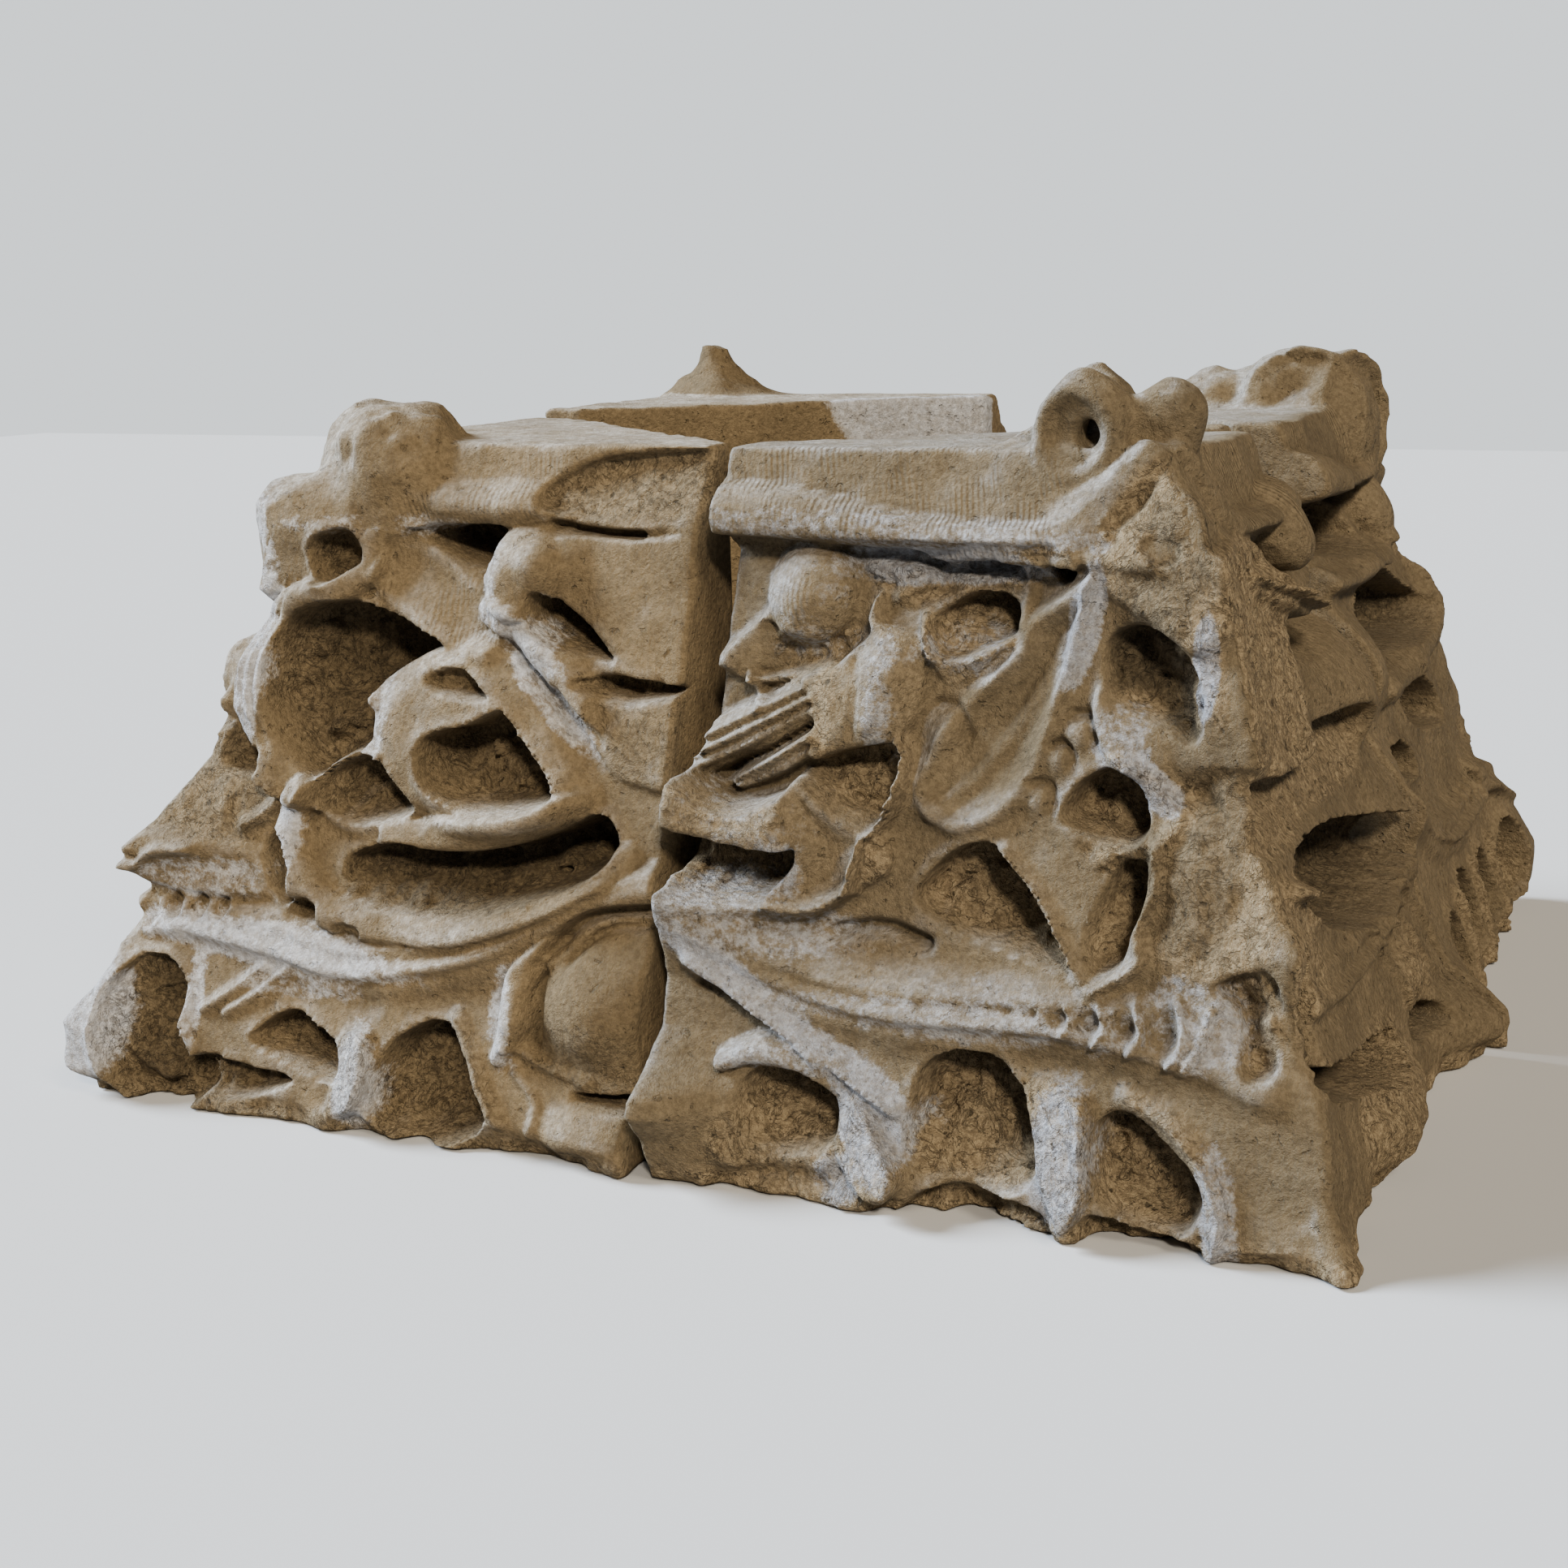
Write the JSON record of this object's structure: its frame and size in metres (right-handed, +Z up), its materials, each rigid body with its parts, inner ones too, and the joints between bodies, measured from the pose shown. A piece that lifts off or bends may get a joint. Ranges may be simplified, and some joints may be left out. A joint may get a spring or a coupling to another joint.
{
  "type": "terracotta capital",
  "caption": "Square carved terracotta capital of quarter blocks around an open shaft, with acanthus leaves, corner scrolls and balls, worn and broken.",
  "frame": {"origin": "middle of the box around the capital, on the plane it stands on", "axes": "+Z up, the wide front face looks along -Y, the right face along +X"},
  "size_m": [1.0678, 1.0631, 0.556],
  "materials": {
    "buff_terracotta_front_left": "unglazed fired clay, buff brown, worn and dusty",
    "buff_terracotta_front_right": "unglazed fired clay, buff brown with grey dust",
    "buff_terracotta_back_left": "unglazed fired clay, buff brown, worn and dusty",
    "buff_terracotta_back_right": "unglazed fired clay, buff brown with grey dust"
  },
  "bodies": {
    "root": {"front_left_block": "buff_terracotta_front_left", "front_right_block": "buff_terracotta_front_right", "back_left_block": "buff_terracotta_back_left", "back_right_block": "buff_terracotta_back_right"}
  },
  "joints": []
}
